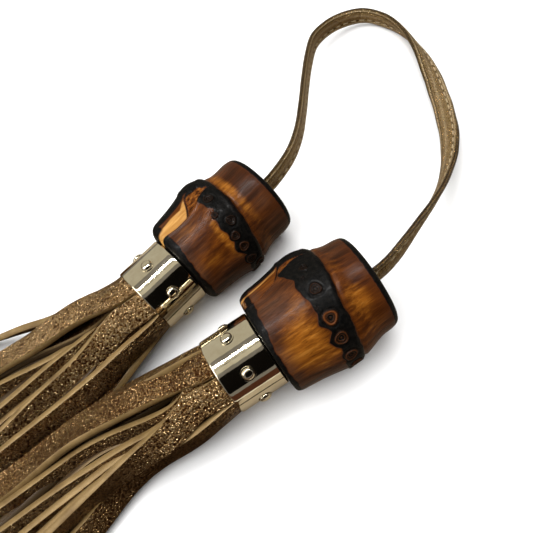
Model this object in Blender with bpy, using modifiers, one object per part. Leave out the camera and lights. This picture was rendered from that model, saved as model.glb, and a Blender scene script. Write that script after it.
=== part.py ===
"""Pair of leather tassels with bamboo heads, joined by one flat leather strap loop.

The pair lies on a flat surface at z = 0. +X points from the fringes to the strap, +Y from tassel b to
tassel a, +Z up. Each tassel is built along its own axis: t is the distance from the middle of its metal
collar along that axis, positive towards the strap.
"""

import math

import bmesh
import bpy
import numpy as np
from mathutils import Matrix, Vector

MM = 0.001

# Each tassel: middle of its collar and heading of its axis. The height is the bamboo's largest radius,
# because the head lies on it.
TASSELS = {
    "a": {"centre": (28.8, 9.3, 17.5), "heading": 7.4},
    "b": {"centre": (34.3, -32.6, 18.3), "heading": -5.8},
}

# Turned outline of each bamboo head, (t, radius), from the collar to the strap. The widest point is the node.
HEAD_OUTLINE = {
    "a": [(8.3, 11.6), (8.8, 13.75), (9.5, 14.6), (12.0, 15.1), (17.0, 15.5), (23.0, 16.65), (26.5, 17.5),
          (30.0, 16.9), (34.0, 15.5), (38.0, 15.0), (43.8, 14.8), (45.0, 14.2), (45.6, 13.2)],
    "b": [(8.3, 13.4), (8.8, 15.5), (9.5, 15.9), (12.0, 16.3), (17.0, 16.75), (23.0, 17.8), (26.5, 18.3),
          (31.0, 17.9), (35.0, 16.8), (38.0, 15.9), (42.6, 15.4), (44.1, 14.7), (44.8, 13.4)],
}
TENON_RADIUS = 6.0
TENON_END = -3.0
BORE_RADIUS = 4.2
BORE_MOUTH_RADIUS = 5.4
BORE_MOUTH_DEPTH = 1.2
HEAD_STEPS = 32

COLLAR_RADIUS = 12.0
COLLAR_HALF_LENGTH = 8.0
COLLAR_WALL = 0.8
COLLAR_RIM = 0.35
COLLAR_STEPS = 48

HEADER_RADIUS = 10.9
HEADER_BORE_RADIUS = 6.3
HEADER_STRAP_END = 7.9

PIN_COUNT = 6
PIN_FIRST_ANGLE = {"a": 27.0, "b": 15.0}
PIN_HEAD_RADIUS = 1.9
PIN_HEAD_HEIGHT = 1.0
PIN_HEAD_LIFT = 0.15
PIN_SHANK_RADIUS = 0.6
PIN_SHANK_DEPTH = 3.5
PIN_HOLE_RADIUS = 0.9
PIN_STEPS = 16

STRAP_WIDTH = 7.0
STRAP_THICKNESS = 2.0
STRAP_CORNER = 0.6
TAIL_BACK = -3.0
KNOT_RADIUS = 5.0
KNOT_FROM = -7.6
KNOT_TO = -3.4

# The strap bends at two places near each mouth: it tips at the mouth and it swings a little further on.
MOUTH_GAP = 1.8
SWING_AT = 11.0
SWING_GAP = 0.8
LOOP_POINTS = 60
END_POINTS = 5

# Route of the strap between the two mouths, laid down by hand. It comes down from each head to the surface
# and lies there on its edge round the top of the loop.
STRAP_ROUTE = [
    (92.2, 22.2, 16.5), (103.7, 33.3, 14.6), (117.6, 50.5, 11.4), (126.9, 61.2, 9.5), (135.9, 68.7, 7.7),
    (146.0, 70.3, 6.3), (156.4, 66.3, 4.8), (161.0, 56.9, 4.0), (160.8, 43.0, 3.8), (158.5, 34.5, 3.8),
    (152.7, 20.8, 3.8), (147.0, 9.8, 4.0), (135.4, -7.9, 6.3), (124.9, -18.4, 9.0), (114.7, -25.3, 11.8),
    (100.7, -31.7, 15.4),
]
# Twist of the strap about its own run, as (fraction of its length, degrees). At 0 the stitched edge is down.
STRAP_TWIST = [(0.0, 0.0), (0.46, 0.0), (0.52, 22.0), (0.61, 70.0), (0.70, 100.0), (0.81, 145.0), (0.95, 178.0),
               (1.0, 180.0)]

# Each fringe sways about a vertical line through its axis. Its solid starts as a half ball round that line
# and then follows these sections: (x, y, z, half width, half height).
SWAY_AT = -19.0
FRINGE_NECK_RADIUS = 10.7
FRINGE_SECTIONS = {
    "a": [(-0.7, 10.2, 12.2, 16.5, 10.6), (-13.7, 13.9, 10.2, 20.3, 9.4), (-33.7, 18.9, 7.6, 23.2, 7.0),
          (-53.7, 23.2, 5.9, 25.8, 5.4), (-75.7, 26.9, 4.9, 27.0, 4.5)],
    "b": [(4.3, -27.7, 13.2, 11.6, 10.9), (-9.7, -24.7, 10.8, 13.0, 10.0), (-29.7, -23.6, 8.0, 15.8, 7.5),
          (-50.7, -24.6, 6.2, 19.2, 5.8), (-72.7, -26.6, 4.9, 22.0, 4.5)],
}
FRINGE_RINGS = 14
FRINGE_SIDES = 24
NECK_RINGS = 6
FRINGE_SQUARENESS = 2.6

COLOURS = {
    "bamboo": ((0.42, 0.17, 0.035, 1.0), 0.25, 0.0),
    "collar_metal": ((0.78, 0.68, 0.50, 1.0), 0.08, 1.0),
    "fringe_leather": ((0.27, 0.17, 0.07, 1.0), 0.42, 0.55),
    "strap_leather": ((0.31, 0.21, 0.10, 1.0), 0.4, 0.55),
    "raw_leather": ((0.45, 0.30, 0.16, 1.0), 0.7, 0.0),
}


def clear_scene():
    for obj in list(bpy.data.objects):
        bpy.data.objects.remove(obj, do_unlink=True)


def new_collection(name):
    collection = bpy.data.collections.new(name)
    bpy.context.scene.collection.children.link(collection)
    return collection


def new_object(name, data, collection, parent=None):
    obj = bpy.data.objects.new(name, data)
    collection.objects.link(obj)
    obj.parent = parent
    return obj


def give_material(obj, kind):
    colour, roughness, metallic = COLOURS[kind]
    material = bpy.data.materials.new(obj.name + "_" + kind)
    material.use_nodes = True
    shader = material.node_tree.nodes["Principled BSDF"]
    shader.inputs["Base Color"].default_value = colour
    shader.inputs["Roughness"].default_value = roughness
    shader.inputs["Metallic"].default_value = metallic
    obj.data.materials.append(material)


def clamped_spline(points, start_direction, end_direction):
    """Cubic through the points by chord length, with set directions at its two ends. Returns a function of 0..1."""
    points = np.array(points, float)
    knots = np.concatenate([[0.0], np.cumsum(np.linalg.norm(np.diff(points, axis=0), axis=1))])
    gaps = np.diff(knots)[:, None]
    slopes = np.diff(points, axis=0) / gaps
    count = len(points)
    matrix = np.eye(count)
    right = np.zeros_like(points)
    right[0] = start_direction
    right[-1] = end_direction
    for i in range(1, count - 1):
        before, after = gaps[i - 1, 0], gaps[i, 0]
        matrix[i, i - 1 : i + 2] = (after, 2 * (before + after), before)
        right[i] = 3 * (after * slopes[i - 1] + before * slopes[i])
    tangents = np.linalg.solve(matrix, right)

    def at(fraction):
        run = np.clip(fraction, 0.0, 1.0) * knots[-1]
        i = int(np.clip(np.searchsorted(knots, run) - 1, 0, count - 2))
        gap = gaps[i, 0]
        u = (run - knots[i]) / gap
        return (
            (2 * u**3 - 3 * u**2 + 1) * points[i]
            + (u**3 - 2 * u**2 + u) * gap * tangents[i]
            + (3 * u**2 - 2 * u**3) * points[i + 1]
            + (u**3 - u**2) * gap * tangents[i + 1]
        )

    return at


def turned(name, outline, closed, steps, kind, collection, parent):
    """A solid turned about local X. The outline is (x, radius), from its strap end back along the outside."""
    mesh = bpy.data.meshes.new(name)
    count = len(outline)
    edges = [(i, i + 1) for i in range(count - 1)]
    if closed:
        edges.append((count - 1, 0))
    mesh.from_pydata([(x * MM, radius * MM, 0.0) for x, radius in outline], edges, [])
    obj = new_object(name, mesh, collection, parent)
    screw = obj.modifiers.new("Turn", "SCREW")
    screw.axis = "X"
    screw.steps = steps
    screw.render_steps = steps
    screw.use_merge_vertices = True
    screw.merge_threshold = 0.00001
    give_material(obj, kind)
    return obj


def cut(obj, cutter):
    boolean = obj.modifiers.new("Holes", "BOOLEAN")
    boolean.operation = "DIFFERENCE"
    boolean.object = cutter


def tassel_axis(letter, collection):
    """Empty in the middle of the collar, with its X along the tassel's axis."""
    axis = new_object("tassel_" + letter + "_axis", None, collection)
    axis.location = Vector(TASSELS[letter]["centre"]) * MM
    axis.rotation_euler = (0.0, 0.0, math.radians(TASSELS[letter]["heading"]))
    return axis


def on_axis(letter, t):
    """Point at t along the tassel's axis, in millimetres in the part's frame."""
    heading = math.radians(TASSELS[letter]["heading"])
    return Vector(TASSELS[letter]["centre"]) + t * Vector((math.cos(heading), math.sin(heading), 0.0))


def mouth_at(letter):
    return HEAD_OUTLINE[letter][-1][0]


def bamboo_head(letter, collection, parent):
    mouth = mouth_at(letter)
    outside = list(reversed(HEAD_OUTLINE[letter]))
    tenon = [(outside[-1][0], TENON_RADIUS), (TENON_END, TENON_RADIUS), (TENON_END, BORE_RADIUS)]
    bore = [(mouth - BORE_MOUTH_DEPTH, BORE_RADIUS), (mouth, BORE_MOUTH_RADIUS)]
    outline = outside + tenon + bore
    return turned("bamboo_head_" + letter, outline, True, HEAD_STEPS, "bamboo", collection, parent)


def collar(letter, collection, parent):
    half, rim = COLLAR_HALF_LENGTH, COLLAR_RIM
    outer, inner = COLLAR_RADIUS, COLLAR_RADIUS - COLLAR_WALL
    outline = [(half, inner), (half, outer - rim), (half - rim, outer), (rim - half, outer),
               (-half, outer - rim), (-half, inner)]
    return turned("collar_" + letter, outline, True, COLLAR_STEPS, "collar_metal", collection, parent)


def header_roll(letter, collection, parent):
    outline = [(HEADER_STRAP_END, HEADER_BORE_RADIUS), (HEADER_STRAP_END, HEADER_RADIUS),
               (-COLLAR_HALF_LENGTH, HEADER_RADIUS), (-COLLAR_HALF_LENGTH, HEADER_BORE_RADIUS)]
    return turned("header_roll_" + letter, outline, True, HEAD_STEPS, "raw_leather", collection, parent)


def pin_angles(letter):
    return [math.radians(PIN_FIRST_ANGLE[letter] + 360.0 / PIN_COUNT * i) for i in range(PIN_COUNT)]


def pin_hole_cutter(letter, collection, parent):
    """Six radial cylinders, which cut the collar and the header roll under it."""
    shape = bmesh.new()
    for angle in pin_angles(letter):
        depth = (COLLAR_RADIUS + 2.0 - HEADER_BORE_RADIUS + 1.5) * MM
        middle = (HEADER_BORE_RADIUS - 1.5) * MM + depth / 2
        made = bmesh.ops.create_cone(shape, cap_ends=True, segments=PIN_STEPS, radius1=PIN_HOLE_RADIUS * MM,
                                     radius2=PIN_HOLE_RADIUS * MM, depth=depth)
        bmesh.ops.translate(shape, verts=made["verts"], vec=(0.0, 0.0, middle))
        bmesh.ops.rotate(shape, verts=made["verts"], cent=(0.0, 0.0, 0.0), matrix=pin_turn(angle))
    mesh = bpy.data.meshes.new("pin_holes_" + letter)
    shape.to_mesh(mesh)
    shape.free()
    cutter = new_object("pin_holes_" + letter, mesh, collection, parent)
    cutter.hide_render = True
    cutter.display_type = "WIRE"
    return cutter


def pin_turn(angle):
    """Turns local Z to the pin's direction, which is at this angle from +Y towards +Z round the tassel's axis."""
    return Matrix.Rotation(angle - math.pi / 2, 3, "X")


def collar_pins(letter, collection, parent):
    """Dome head and shank as one outline about local X, then stood out radially. All six share one mesh."""
    seat = COLLAR_RADIUS + PIN_HEAD_LIFT
    dome = [(seat + PIN_HEAD_HEIGHT * math.sin(math.radians(a)), PIN_HEAD_RADIUS * math.cos(math.radians(a)))
            for a in (90, 70, 50, 30, 12, 0)]
    outline = dome + [(seat, PIN_SHANK_RADIUS), (COLLAR_RADIUS - PIN_SHANK_DEPTH, PIN_SHANK_RADIUS),
                      (COLLAR_RADIUS - PIN_SHANK_DEPTH, 0.0)]
    for number, angle in enumerate(pin_angles(letter), 1):
        pin = turned(f"collar_pin_{letter}_{number}", outline, False, PIN_STEPS, "collar_metal", collection, parent)
        direction = Vector((0.0, math.cos(angle), math.sin(angle)))
        pin.rotation_mode = "QUATERNION"
        pin.rotation_quaternion = Vector((1.0, 0.0, 0.0)).rotation_difference(direction)


def strap_tail(letter, collection, parent):
    length = mouth_at(letter) - MOUTH_GAP - TAIL_BACK
    shape = bmesh.new()
    bmesh.ops.create_cube(shape, size=1.0)
    bmesh.ops.scale(shape, verts=shape.verts, vec=(length * MM, STRAP_THICKNESS * MM, STRAP_WIDTH * MM))
    middle = TAIL_BACK + length / 2
    bmesh.ops.translate(shape, verts=shape.verts, vec=(middle * MM, 0.0, 0.0))
    mesh = bpy.data.meshes.new("strap_tail_" + letter)
    shape.to_mesh(mesh)
    shape.free()
    tail = new_object("strap_tail_" + letter, mesh, collection, parent)
    bevel = tail.modifiers.new("Corners", "BEVEL")
    bevel.width = STRAP_CORNER * MM
    bevel.segments = 2
    give_material(tail, "strap_leather")


def strap_knot(letter, collection, parent):
    middle, half = (KNOT_FROM + KNOT_TO) / 2, (KNOT_TO - KNOT_FROM) / 2
    outline = [(middle + half * math.sin(math.radians(a)), KNOT_RADIUS * math.cos(math.radians(a)) ** 0.5)
               for a in (90, 65, 40, 15, -15, -40, -65, -90)]
    outline[0] = (middle + half, 0.0)
    outline[-1] = (middle - half, 0.0)
    return turned("strap_knot_" + letter, outline, False, PIN_STEPS, "strap_leather", collection, parent)


def strap_curve():
    """Evenly spaced points of the whole strap between the mouths, their distances, and the strap's length."""
    start, end = on_axis("a", mouth_at("a")), on_axis("b", mouth_at("b"))
    out_of_a = on_axis("a", 1.0) - on_axis("a", 0.0)
    into_b = on_axis("b", 0.0) - on_axis("b", 1.0)
    at = clamped_spline([tuple(start)] + STRAP_ROUTE + [tuple(end)], tuple(out_of_a), tuple(into_b))
    points = np.array([at(i / 2000) for i in range(2001)])
    run = np.concatenate([[0.0], np.cumsum(np.linalg.norm(np.diff(points, axis=0), axis=1))])
    return points, run


def twist_at(fraction):
    fractions, degrees = zip(*STRAP_TWIST)
    return math.radians(float(np.interp(fraction, fractions, degrees)))


def strap_section(collection):
    """Rounded rectangle, STRAP_THICKNESS wide and STRAP_WIDTH high, which the strap's curves carry along."""
    outline = bpy.data.curves.new("strap_section", "CURVE")
    outline.dimensions = "2D"
    x, y, corner = STRAP_THICKNESS / 2, STRAP_WIDTH / 2, STRAP_CORNER
    points = []
    for quarter, (cx, cy) in enumerate([(x, y), (-x, y), (-x, -y), (x, -y)]):
        inner = (cx - math.copysign(corner, cx), cy - math.copysign(corner, cy))
        for step in range(3):
            angle = math.radians(90 * quarter + 45 * step)
            points.append((inner[0] + corner * math.cos(angle), inner[1] + corner * math.sin(angle)))
    spline = outline.splines.new("POLY")
    spline.points.add(len(points) - 1)
    for point, (px, py) in zip(spline.points, reversed(points)):
        point.co = (px * MM, py * MM, 0.0, 1.0)
    spline.use_cyclic_u = True
    section = new_object("strap_section", outline, collection)
    section.hide_render = True
    section.display_type = "WIRE"
    return section


def strap_piece(name, whole, run_from, run_to, count, section, collection):
    points, run = whole
    curve = bpy.data.curves.new(name, "CURVE")
    curve.dimensions = "3D"
    curve.twist_mode = "Z_UP"
    curve.bevel_mode = "OBJECT"
    curve.bevel_object = section
    curve.use_fill_caps = True
    spline = curve.splines.new("POLY")
    spline.points.add(count - 1)
    for point, distance in zip(spline.points, np.linspace(run_from, run_to, count)):
        place = [float(np.interp(distance, run, points[:, axis])) * MM for axis in range(3)]
        point.co = (*place, 1.0)
        point.tilt = twist_at(distance / run[-1])
    obj = new_object(name, curve, collection)
    give_material(obj, "strap_leather")
    return obj


def strap(parts, guides):
    section = strap_section(guides)
    whole = strap_curve()
    length = whole[1][-1]
    near, far = MOUTH_GAP, SWING_AT - SWING_GAP
    loop_start = SWING_AT + SWING_GAP
    strap_piece("strap_end_a", whole, near, far, END_POINTS, section, parts)
    strap_piece("strap_loop", whole, loop_start, length - loop_start, LOOP_POINTS, section, parts)
    strap_piece("strap_end_b", whole, length - far, length - near, END_POINTS, section, parts)


def superellipse(angle, half_width, half_height):
    power = 2.0 / FRINGE_SQUARENESS
    across, up = math.cos(angle), math.sin(angle)
    return (
        math.copysign(abs(across) ** power, across) * half_width,
        math.copysign(abs(up) ** power, up) * half_height,
    )


def fringe(letter, collection):
    """Loft: a half ball round the sway line, then flat rounded sections out to the ends of the strands."""
    pivot = on_axis(letter, SWAY_AT)
    back = on_axis(letter, -1.0) - on_axis(letter, 0.0)
    across = Vector((-back.y, back.x, 0.0))
    rings = []
    for i in range(1, NECK_RINGS):
        angle = math.pi / 2 * i / NECK_RINGS
        middle = pivot - back * FRINGE_NECK_RADIUS * math.cos(angle)
        radius = FRINGE_NECK_RADIUS * math.sin(angle)
        rings.append([middle + across * radius * math.cos(turn) + Vector((0.0, 0.0, radius * math.sin(turn)))
                      for turn in ring_turns()])
    first = (*pivot, FRINGE_NECK_RADIUS, FRINGE_NECK_RADIUS)
    sections = [first] + FRINGE_SECTIONS[letter]
    start = (back.x, back.y, 0.0, 0.15, 0.0)
    last = np.array(sections[-1]) - np.array(sections[-2])
    at = clamped_spline(sections, start, last / np.linalg.norm(last))
    for i in range(FRINGE_RINGS + 1):
        x, y, z, half_width, half_height = at(i / FRINGE_RINGS)
        ahead = Vector(at(min(1.0, i / FRINGE_RINGS + 0.01))[:2]) - Vector(at(i / FRINGE_RINGS - 0.01)[:2])
        side = Vector((-ahead.y, ahead.x, 0.0)).normalized()
        round_share = max(0.0, 1.0 - 3.0 * i / FRINGE_RINGS)
        ring = []
        for turn in ring_turns():
            wide, high = superellipse(turn, half_width, half_height)
            wide += (half_width * math.cos(turn) - wide) * round_share
            high += (half_height * math.sin(turn) - high) * round_share
            ring.append(Vector((x, y, z)) + side * wide + Vector((0.0, 0.0, high)))
        rings.append(ring)
    shape = bmesh.new()
    apex = shape.verts.new((pivot - back * FRINGE_NECK_RADIUS) * MM)
    layers = [[shape.verts.new(point * MM) for point in ring] for ring in rings]
    for i in range(FRINGE_SIDES):
        after = (i + 1) % FRINGE_SIDES
        shape.faces.new((apex, layers[0][i], layers[0][after]))
        for near, far in zip(layers, layers[1:]):
            shape.faces.new((near[i], far[i], far[after], near[after]))
    shape.faces.new(layers[-1])
    bmesh.ops.recalc_face_normals(shape, faces=shape.faces)
    mesh = bpy.data.meshes.new("fringe_" + letter)
    shape.to_mesh(mesh)
    shape.free()
    obj = new_object("fringe_" + letter, mesh, collection)
    give_material(obj, "fringe_leather")


def ring_turns():
    return [2 * math.pi * i / FRINGE_SIDES for i in range(FRINGE_SIDES)]


def shade_smooth(collection):
    for obj in collection.objects:
        if obj.type == "MESH":
            obj.data.shade_smooth()


def main():
    clear_scene()
    parts = new_collection("bamboo_tassel_pair")
    guides = new_collection("cutters_and_guides")
    for letter in TASSELS:
        axis = tassel_axis(letter, parts)
        holes = pin_hole_cutter(letter, guides, axis)
        bamboo_head(letter, parts, axis)
        cut(collar(letter, parts, axis), holes)
        cut(header_roll(letter, parts, axis), holes)
        collar_pins(letter, parts, axis)
        strap_tail(letter, parts, axis)
        strap_knot(letter, parts, axis)
        fringe(letter, parts)
    strap(parts, guides)
    shade_smooth(parts)


main()
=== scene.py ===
"""Looks of the pair of bamboo-head leather tassels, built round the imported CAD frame.

Lengths in the constants are millimetres in the CAD frame: +X from the fringes to the strap, +Y from tassel b
to tassel a, +Z up from the surface the pair lies on. On a tassel, t is the distance from the middle of its
collar along its axis, positive towards the strap, and angles round the axis go from +Y towards +Z.
"""

import math
import random

import bpy
import numpy as np
from mathutils import Matrix, Vector


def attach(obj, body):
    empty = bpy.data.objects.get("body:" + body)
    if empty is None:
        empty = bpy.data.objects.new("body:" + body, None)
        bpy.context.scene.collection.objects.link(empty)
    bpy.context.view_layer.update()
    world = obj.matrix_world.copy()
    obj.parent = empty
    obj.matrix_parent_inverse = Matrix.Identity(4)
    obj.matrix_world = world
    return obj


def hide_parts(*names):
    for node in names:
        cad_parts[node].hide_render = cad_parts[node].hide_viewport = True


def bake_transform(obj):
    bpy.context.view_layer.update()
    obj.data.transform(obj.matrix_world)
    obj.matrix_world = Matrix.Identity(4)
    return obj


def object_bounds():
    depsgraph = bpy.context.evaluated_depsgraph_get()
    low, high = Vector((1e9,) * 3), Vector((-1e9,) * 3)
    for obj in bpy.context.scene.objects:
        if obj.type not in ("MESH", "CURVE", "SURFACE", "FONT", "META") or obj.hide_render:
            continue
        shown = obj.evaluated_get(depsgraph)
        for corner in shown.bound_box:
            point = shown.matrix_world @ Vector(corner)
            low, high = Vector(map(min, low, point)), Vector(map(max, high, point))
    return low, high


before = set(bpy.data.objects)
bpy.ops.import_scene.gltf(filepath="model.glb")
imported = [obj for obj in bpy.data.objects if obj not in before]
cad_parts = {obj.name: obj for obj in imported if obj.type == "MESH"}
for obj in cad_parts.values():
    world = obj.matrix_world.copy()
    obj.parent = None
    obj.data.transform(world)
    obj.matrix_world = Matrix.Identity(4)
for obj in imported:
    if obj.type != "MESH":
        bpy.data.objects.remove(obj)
CAD_BOX = [list(corner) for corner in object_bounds()]

MM = 0.001
UP = np.array([0.0, 0.0, 1.0])

TASSELS = {
    "a": {"centre": (28.8, 9.3, 17.5), "heading": 7.4, "mouth": 45.6},
    "b": {"centre": (34.3, -32.6, 18.3), "heading": -5.8, "mouth": 44.8},
}

# ---- camera

CAMERA_PLACE = (37.55, -133.91, 200.26)
CAMERA_AZIMUTH = -9.470
CAMERA_ELEVATION = 55.558
CAMERA_ROLL = -30.247
CAMERA_LENS = 47.41


def unit(vector):
    vector = np.array(vector, float)
    return vector / np.linalg.norm(vector)


def put(name, data):
    """Links a new object of this mesh, light or camera to the scene."""
    obj = bpy.data.objects.new(name, data)
    bpy.context.scene.collection.objects.link(obj)
    return obj


def make_camera():
    azimuth, elevation = math.radians(CAMERA_AZIMUTH), math.radians(CAMERA_ELEVATION)
    roll = math.radians(CAMERA_ROLL)
    back = np.array([math.sin(azimuth) * math.cos(elevation), -math.cos(azimuth) * math.cos(elevation),
                     math.sin(elevation)])
    level = unit(np.cross(-back, UP))
    above = np.cross(level, -back)
    right = math.cos(roll) * level + math.sin(roll) * above
    top = -math.sin(roll) * level + math.cos(roll) * above
    data = bpy.data.cameras.new("camera")
    data.lens = CAMERA_LENS
    data.sensor_width = 36.0
    data.clip_start = 0.01
    data.clip_end = 20.0
    camera = put("camera", data)
    columns = Matrix((right, top, back)).transposed().to_4x4()
    columns.translation = Vector(CAMERA_PLACE) * MM
    camera.matrix_world = columns
    bpy.context.scene.camera = camera


# ---- shared geometry


def axis_of(letter):
    heading = math.radians(TASSELS[letter]["heading"])
    return np.array([math.cos(heading), math.sin(heading), 0.0])


def side_of(letter):
    along = axis_of(letter)
    return np.array([-along[1], along[0], 0.0])


def on_axis(letter, t):
    return np.array(TASSELS[letter]["centre"]) + t * axis_of(letter)


def round_axis(letter, t, angle, radius):
    """Point at this distance along the axis, this angle round it (radians) and this radius."""
    return on_axis(letter, t) + radius * (math.cos(angle) * side_of(letter) + math.sin(angle) * UP)


def ease(x):
    x = np.clip(x, 0.0, 1.0)
    return x * x * (3.0 - 2.0 * x)


def bump_at(x, middle, width):
    return np.exp(-(((x - middle) / width) ** 2))


def clamped_spline(points, start_direction, end_direction):
    """Cubic through the points by chord length, with set directions at its two ends. Returns a function of 0..1."""
    points = np.array(points, float)
    knots = np.concatenate([[0.0], np.cumsum(np.linalg.norm(np.diff(points, axis=0), axis=1))])
    gaps = np.diff(knots)[:, None]
    slopes = np.diff(points, axis=0) / gaps
    count = len(points)
    matrix = np.eye(count)
    right = np.zeros_like(points)
    right[0] = start_direction
    right[-1] = end_direction
    for i in range(1, count - 1):
        before, after = gaps[i - 1, 0], gaps[i, 0]
        matrix[i, i - 1 : i + 2] = (after, 2 * (before + after), before)
        right[i] = 3 * (after * slopes[i - 1] + before * slopes[i])
    tangents = np.linalg.solve(matrix, right)

    def at(fraction):
        run = np.clip(fraction, 0.0, 1.0) * knots[-1]
        i = int(np.clip(np.searchsorted(knots, run) - 1, 0, count - 2))
        gap = gaps[i, 0]
        u = (run - knots[i]) / gap
        return (
            (2 * u**3 - 3 * u**2 + 1) * points[i]
            + (u**3 - 2 * u**2 + u) * gap * tangents[i]
            + (3 * u**2 - 2 * u**3) * points[i + 1]
            + (u**3 - u**2) * gap * tangents[i + 1]
        )

    return at


class MeshParts:
    """Gathers points, faces, material numbers and point attributes of one mesh, in millimetres."""

    def __init__(self):
        self.points, self.faces, self.kinds = [], [], []
        self.values = {}
        self.count = 0

    def add_tube(self, rings, kinds=None, caps=(True, True), cap_kind=0, closed=False, **values):
        """rings is rows of points, each row closed on itself. kinds gives a material number to each column."""
        rings = np.asarray(rings, float)
        rows, columns = rings.shape[:2]
        first = self.count
        self.points.append(rings.reshape(-1, 3))
        self.count += rows * columns
        for name, value in values.items():
            self.values.setdefault(name, []).append(np.broadcast_to(value, (rows, columns)).reshape(-1))
        for row in range(rows if closed else rows - 1):
            near, far = first + row * columns, first + (row + 1) % rows * columns
            for column in range(columns):
                after = (column + 1) % columns
                self.faces.append((near + column, near + after, far + after, far + column))
                self.kinds.append(kinds[column] if kinds else 0)
        if caps[0]:
            self.faces.append(tuple(first + i for i in reversed(range(columns))))
            self.kinds.append(cap_kind)
        if caps[1]:
            self.faces.append(tuple(first + (rows - 1) * columns + i for i in range(columns)))
            self.kinds.append(cap_kind)

    def build(self, name, materials, sharp=math.radians(50.0)):
        mesh = bpy.data.meshes.new(name)
        points = np.concatenate(self.points) * MM
        mesh.from_pydata(points.tolist(), [], self.faces)
        for material in materials:
            mesh.materials.append(material)
        mesh.polygons.foreach_set("material_index", self.kinds)
        for value_name, value in self.values.items():
            attribute = mesh.attributes.new(value_name, "FLOAT", "POINT")
            attribute.data.foreach_set("value", np.concatenate(value).astype(np.float32))
        place = mesh.attributes.new("rest_place", "FLOAT_VECTOR", "POINT")
        place.data.foreach_set("vector", points.astype(np.float32).reshape(-1))
        mesh.shade_smooth()
        mesh.set_sharp_from_angle(angle=sharp)
        mesh.update()
        return put(name, mesh)


# ---- material nodes


class Nodes:
    """A small wrapper that adds and links shader nodes."""

    def __init__(self, name):
        self.material = bpy.data.materials.new(name)
        self.material.use_nodes = True
        self.tree = self.material.node_tree
        self.shader = self.tree.nodes["Principled BSDF"]

    def add(self, kind, inputs=None, **settings):
        node = self.tree.nodes.new("ShaderNode" + kind)
        for key, value in settings.items():
            setattr(node, key, value)
        for key, value in (inputs or {}).items():
            self.feed(node.inputs[key], value)
        return node

    def feed(self, socket, value):
        if isinstance(value, bpy.types.NodeSocket):
            self.tree.links.new(value, socket)
        else:
            socket.default_value = value

    def set(self, **inputs):
        for key, value in inputs.items():
            self.feed(self.shader.inputs[key.replace("_", " ")], value)

    def value(self, name):
        return self.add("Attribute", attribute_name=name).outputs["Fac"]

    def place(self, scale=(1.0, 1.0, 1.0)):
        rest = self.add("Attribute", attribute_name="rest_place").outputs["Vector"]
        return self.add("Mapping", {"Vector": rest, "Scale": scale}).outputs["Vector"]

    def local(self, scale=(1.0, 1.0, 1.0)):
        coordinates = self.add("TexCoord").outputs["Object"]
        return self.add("Mapping", {"Vector": coordinates, "Scale": scale}).outputs["Vector"]

    def noise(self, vector, scale, detail=3.0, roughness=0.5, distortion=0.0):
        made = self.add("TexNoise", {"Vector": vector, "Scale": scale, "Detail": detail, "Roughness": roughness,
                                     "Distortion": distortion})
        return made.outputs["Fac"]

    def cells(self, vector, scale, feature="F1", randomness=1.0):
        made = self.add("TexVoronoi", {"Vector": vector, "Scale": scale, "Randomness": randomness}, feature=feature)
        return made.outputs["Distance"]

    def ramp(self, factor, *stops):
        node = self.add("ValToRGB", {"Fac": factor})
        elements = node.color_ramp.elements
        while len(elements) < len(stops):
            elements.new(0.5)
        for element, (position, colour) in zip(elements, stops):
            element.position = position
            element.color = (*colour, 1.0)
        return node.outputs["Color"]

    def span(self, factor, low, high, to_low=0.0, to_high=1.0):
        made = self.add("MapRange", {"Value": factor, "From Min": low, "From Max": high, "To Min": to_low,
                                     "To Max": to_high}, interpolation_type="SMOOTHSTEP")
        return made.outputs["Result"]

    def math(self, operation, first, second=0.0):
        node = self.add("Math", operation=operation)
        self.feed(node.inputs[0], first)
        self.feed(node.inputs[1], second)
        return node.outputs["Value"]

    def plus(self, first, second, share):
        """first + share * second"""
        return self.math("ADD", first, self.math("MULTIPLY", second, share))

    def mix(self, factor, first, second, blend="MIX"):
        node = self.add("Mix", data_type="RGBA", blend_type=blend)
        self.feed(node.inputs["Factor"], factor)
        for key, value in (("A", first), ("B", second)):
            socket = [s for s in node.inputs if s.name == key and s.type == "RGBA"][0]
            self.feed(socket, value if isinstance(value, bpy.types.NodeSocket) else (*value, 1.0))
        return [s for s in node.outputs if s.type == "RGBA"][0]

    def bump(self, height, strength, distance, normal=None):
        inputs = {"Height": height, "Strength": strength, "Distance": distance}
        if normal is not None:
            inputs["Normal"] = normal
        return self.add("Bump", inputs).outputs["Normal"]


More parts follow.
